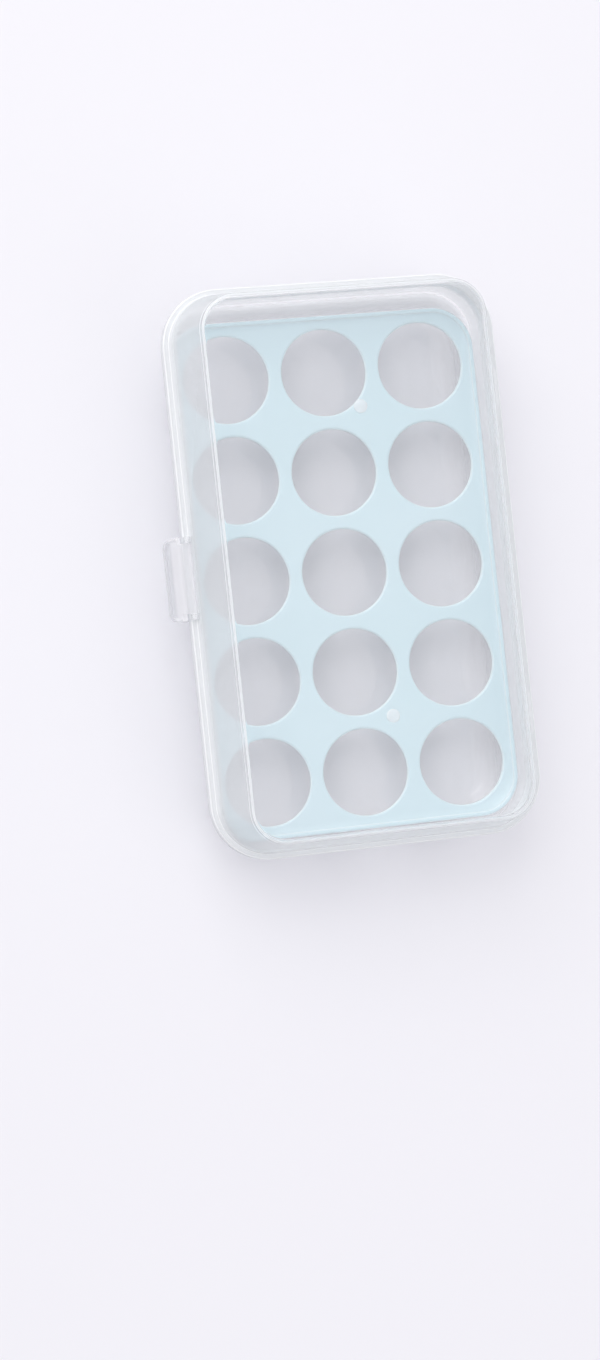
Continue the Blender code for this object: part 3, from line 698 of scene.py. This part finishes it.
def cover(sizes):
    wall = shared["wall"]
    rise = sizes["top"] - flangeTop
    rootX = mouthX + wall
    rootY = mouthY + wall
    rootCorner = shared["rimCorner"] - rimOut + wall
    lean = sizes["lean"]

    def wallRing(height, inset=0.0, riseShare=None):
        share = (height - flangeTop) / rise if riseShare is None else riseShare
        corner = rootCorner + share * (sizes["topCorner"] - rootCorner) - inset
        halfX = rootX - share * sizes["sideInset"] - inset
        halfY = rootY - share * sizes["endInset"] - inset
        return (halfX, halfY, corner, height)

    def crown(top, radius, inset, steps):
        # the round from the leaning wall over to a flat top, from below
        startZ = top - radius * (1 - math.sin(lean))
        share = (startZ - flangeTop) / rise
        for s, c in arc(steps, lean, math.pi / 2):
            yield wallRing(top - radius * (1 - s), inset + radius * (math.cos(lean) - c), share)

    ceiling = sizes["top"] - wall
    inner = list(crown(ceiling, sizes["innerRound"], wall, 5))
    last = inner[-1]
    support = shared["support"]
    innerTop = (last[0] - support, last[1] - support, last[2] - support, ceiling)
    rings = [spine(innerTop), innerTop, *reversed(inner)]
    flangeBottom = flangeTop - wall
    edge = sizes["skirtEdge"]
    rings += [
        wallRing(flangeBottom + edge, wall, edge / rise), mouth(0.1 * mm, flangeBottom),
        mouth(rimOut - shared["skirtWall"] - edge, flangeBottom),
        mouth(rimOut - shared["skirtWall"], flangeBottom - edge),
    ]
    skirtIn = rimOut - shared["skirtWall"]
    rings += [mouth(skirtIn + edge * (1 - c), skirtBottom + edge * (1 - s)) for s, c in arc(3, 0, math.pi / 2)]
    rings += [mouth(rimOut - edge * (1 - s), skirtBottom + edge * (1 - c)) for s, c in arc(3, 0, math.pi / 2)]
    shoulder = sizes["shoulder"]
    rings += [
        mouth(rimOut - shoulder * (1 - c), flangeTop - shoulder * (1 - s)) for s, c in arc(5, 0, math.pi / 2)
    ]
    rings += [mouth(wall + edge, flangeTop), mouth(wall + edge * 0.25, flangeTop + edge * 0.3)]
    rings.append(wallRing(flangeTop + edge))
    outer = list(crown(sizes["top"], sizes["edgeRound"], 0.0, 8))
    rings += outer
    last = outer[-1]
    top = (last[0] - support, last[1] - support, last[2] - support, sizes["top"])
    rings += [top, spine(top)]
    piece = loft("cover", rings, clearSkin)

    latchHalf = latchSizes["length"] / 2
    ears = []
    bores = []
    outerY = latchHalf - earSizes["inset"]
    for low in (-outerY, outerY - earSizes["thickness"]):
        footZ = flangeTop - wall / 2
        outline = [(pivot["x"] + earSizes["radius"], footZ), (pivot["x"] - earSizes["radius"], footZ)]
        head = arc(16, -math.pi / 2, math.pi / 2)
        outline += [(pivot["x"] + earSizes["radius"] * s, pivot["z"] + earSizes["radius"] * c) for s, c in head]
        high = low + earSizes["thickness"]
        ears.append(prism(f"latch_ear_{len(ears)}", outline, low, high, earSizes["edge"]))
        bores.append(rod(
            f"latch_bore_{len(bores)}", pivot["x"], pivot["z"], earSizes["pin"] + earSizes["play"],
            low - earSizes["overrun"], high + earSizes["overrun"],
        ))
    pips = []
    for side in (-1, 1):
        pips.append(pip(f"pip_{len(pips)}", side * sizes["pipSpacing"] / 2, sizes))
    piece = combine(piece, [*hingeLugs(hingeSizes), *ears, *pips])
    piece = combine(piece, bores, "DIFFERENCE")
    dress(piece, clearSkin, "lid", "lid_shell")


def pip(name, y, sizes):
    # a moulding nub: a low dome on the top
    radius = sizes["pip"] / 2
    rings = [(radius, radius, radius, sizes["top"] - shared["wall"] / 2)]
    rings += [
        (radius * c, radius * c, radius * c, sizes["top"] + sizes["pipHeight"] * s)
        for s, c in arc(6, 0, math.pi / 2 * 0.97)
    ]
    rings = [(0.0, 0.0, 0.0, rings[0][3]), *rings, (0.0, 0.0, 0.0, sizes["top"] + sizes["pipHeight"])]
    dome = loft(name, rings, clearSkin, 10)
    dome.data.transform(Matrix.Translation((sizes["pipShift"][0], y + sizes["pipShift"][1], 0)))
    return dome


# Latch

latchSizes = {
    "length": 36 * mm, "corner": 4 * mm, "wall": 1.5 * mm, "standoff": 0.6 * mm, "flare": 2.6 * mm,
    "lipReach": 2.4 * mm, "lipDrop": 1.4 * mm, "drop": 13.8 * mm, "barrel": 1.5 * mm, "hookBite": 1.2 * mm,
    "hook": 1.6 * mm, "edge": 0.3 * mm, "bead": 0.8 * mm,
}


def latch(sizes):
    wall = sizes["wall"]
    half = sizes["length"] / 2
    plateTop = pivot["z"] + sizes["barrel"]
    legX = -(rimX + sizes["standoff"])
    footZ = plateTop - sizes["drop"]
    footX = legX - sizes["flare"]
    hookTop = skirtBottom - 2 * shared["seatGap"] - tubSizes["catchThickness"]
    hookTip = -(rimX + tubSizes["catchReach"] - sizes["hookBite"])
    legTop = pivot["z"] - earSizes["radius"] - shared["seatGap"]
    lipX = footX - wall - sizes["lipReach"]
    lipZ = footZ - sizes["lipDrop"]

    def insideAt(height):
        return legX - sizes["flare"] * (plateTop - height) / sizes["drop"]

    leg = prism("latch", [
        (insideAt(legTop), legTop), (insideAt(hookTop), hookTop), (hookTip, hookTop),
        (hookTip, hookTop - sizes["hook"] / 2), (footX, footZ), (lipX + wall, lipZ), (lipX, lipZ + wall / 2),
        (lipX, lipZ + wall), (footX - wall, footZ + wall), (insideAt(legTop) - wall, legTop),
    ], -half, half, sizes["edge"])
    rounded = []
    for height in (footZ - sizes["drop"], plateTop + sizes["drop"]):
        rounded.append((rimX, half, sizes["corner"], height))
    cutter = loft("latch_plan", [spineAcross(rounded[0]), *rounded, spineAcross(rounded[1])], clearSkin, 10)
    cutter.data.transform(Matrix.Translation((lipX + rimX, 0, 0)))
    leg = combine(leg, [cutter], "INTERSECT")

    # the bead follows the leg's outer face down, round the lip and up again
    bead = sizes["bead"]
    knee = (footX - wall, footZ + wall)
    head = (insideAt(legTop) - wall, legTop)

    def onFace(x):
        low, high = (knee, head) if x > knee[0] else ((lipX, lipZ + wall), knee)
        return low[1] + (x - low[0]) / (high[0] - low[0]) * (high[1] - low[1])

    corner = sizes["corner"]
    bend = [
        (lipX + corner - (corner - bead) * s, half - corner + (corner - bead) * c)
        for s, c in arc(8, 0, math.pi / 2)
    ]
    plan = [(head[0], half - bead), *bend]
    plan += [(x, -y) for x, y in reversed(plan)]
    leg = combine(leg, [tube("latch_bead", [(x, y, onFace(x)) for x, y in plan], bead)])

    span = half - earSizes["inset"] - earSizes["thickness"] - shared["seatGap"]
    jointZ = legTop - wall / 2
    bridge = prism("latch_bridge", [
        (pivot["x"], pivot["z"]), (pivot["x"], plateTop), (legX - wall / 2, plateTop),
        (insideAt(pivot["z"]) - wall, pivot["z"]), (insideAt(jointZ) - wall, jointZ),
        (insideAt(jointZ), jointZ), (insideAt(pivot["z"]), pivot["z"]),
    ], -span, span, sizes["edge"])
    barrel = rod("latch_barrel", pivot["x"], pivot["z"], sizes["barrel"], -span, span)
    reach = half - earSizes["inset"]
    pin = rod("latch_pin", pivot["x"], pivot["z"], earSizes["pin"], -reach, reach)
    leg = combine(leg, [bridge, barrel, pin])
    dress(leg, latchSkin, "latch", "latch_clip")


def spineAcross(ring):
    # closes a flat end whose half width is the larger one
    return (ring[0] - ring[1], 0.0, 0.0, ring[3])


cover(coverSizes)
print("egg holder: the cover is on")
latch(latchSizes)
print("egg holder: the latch is shut")


# Floor, lamps and camera

stageLook = {
    "floor": "#eeedf2", "floorSize": 6.0, "floorHeight": -0.15 * mm, "fibreScale": 90.0, "sky": "#f6f6fa",
    "skyStrength": 0.64, "skyLean": 0.26, "skyFrom": (-0.45, 0.7, 0.55), "backdrop": "#f8f8fb",
}
lampLook = {
    "key": {"place": (-1.1, 2.1, 2.6), "size": 3.0, "power": 66.0, "colour": "#fffdfa"},
    "fill": {"place": (1.7, -1.6, 1.9), "size": 2.4, "power": 13.0, "colour": "#ffffff"},
}


def floorMaterial(look):
    # matt paper: a faint fibre mottle and no shine
    material = newMaterial("matt_paper")
    tree = material.node_tree
    space = addNode(tree, "ShaderNodeTexCoord").outputs["Object"]
    fibres = addNode(tree, "ShaderNodeTexNoise", feeds={
        "Vector": space, "Scale": look["fibreScale"], "Detail": 3.0,
    })
    bump = addNode(tree, "ShaderNodeBump", feeds={
        "Strength": 0.05, "Distance": 0.2 * mm, "Height": fibres.outputs["Fac"],
    })
    paper = addNode(tree, "ShaderNodeBsdfPrincipled", feeds={
        "Base Color": (*linear(look["floor"]), 1), "Roughness": 0.9, "Normal": bump.outputs[0],
    })
    addNode(tree, "ShaderNodeOutputMaterial", feeds={"Surface": paper.outputs[0]})
    return material


def studio(look, lamps):
    half = look["floorSize"] / 2
    low = look["floorHeight"]
    corners = [(-half, -half, low), (half, -half, low), (half, half, low), (-half, half, low)]
    mesh = bpy.data.meshes.new("floor")
    mesh.from_pydata(corners, [], [(0, 1, 2, 3)])
    mesh.materials.append(floorMaterial(look))
    newObject("floor", mesh)
    world = bpy.data.worlds.new("studio")
    world.use_nodes = True
    tree = world.node_tree
    tree.nodes.clear()
    # the room is lighter towards its window, at the upper left
    window = Vector(look["skyFrom"]).normalized()
    towards = addNode(tree, "ShaderNodeVectorMath", {"operation": "DOT_PRODUCT"}, {
        0: addNode(tree, "ShaderNodeTexCoord").outputs["Generated"], 1: window,
    }).outputs["Value"]
    lean = maths(tree, "ADD", maths(tree, "MULTIPLY", towards, look["skyLean"]), look["skyStrength"])
    sky = addNode(tree, "ShaderNodeBackground", feeds={"Color": (*linear(look["sky"]), 1), "Strength": lean})
    backdrop = addNode(tree, "ShaderNodeBackground", feeds={
        "Color": (*linear(look["backdrop"]), 1), "Strength": 1.0,
    })
    path = addNode(tree, "ShaderNodeLightPath")
    seen = maths(tree, "MAXIMUM", path.outputs["Is Camera Ray"], path.outputs["Is Transmission Ray"])
    seen = maths(tree, "MAXIMUM", seen, path.outputs["Is Glossy Ray"])
    both = addNode(tree, "ShaderNodeMixShader", feeds={0: seen, 1: sky.outputs[0], 2: backdrop.outputs[0]})
    addNode(tree, "ShaderNodeOutputWorld", feeds={"Surface": both.outputs[0]})
    bpy.context.scene.world = world
    for name, lamp in lamps.items():
        light = bpy.data.lights.new(name, "AREA")
        light.size = lamp["size"]
        light.energy = lamp["power"]
        light.color = linear(lamp["colour"])
        thing = newObject(name, light)
        thing.location = lamp["place"]
        thing.rotation_euler = (-thing.location).to_track_quat("-Z", "Y").to_euler()


cameraView = {
    "place": (-0.33337, -0.06728, 1.29077), "turn": (2.3123, -13.4678, -6.1715), "lens": 79.4,
}


def photoCamera(view):
    camera = bpy.data.cameras.new("photo_view")
    camera.lens = view["lens"]
    camera.sensor_fit = "AUTO"
    camera.sensor_width = 36.0
    thing = newObject("photo_view", camera)
    thing.location = view["place"]
    thing.rotation_euler = [math.radians(angle) for angle in view["turn"]]
    bpy.context.scene.camera = thing


studio(stageLook, lampLook)
photoCamera(cameraView)
bpy.context.scene.view_settings.view_transform = "Standard"
print("egg holder: the studio is lit")
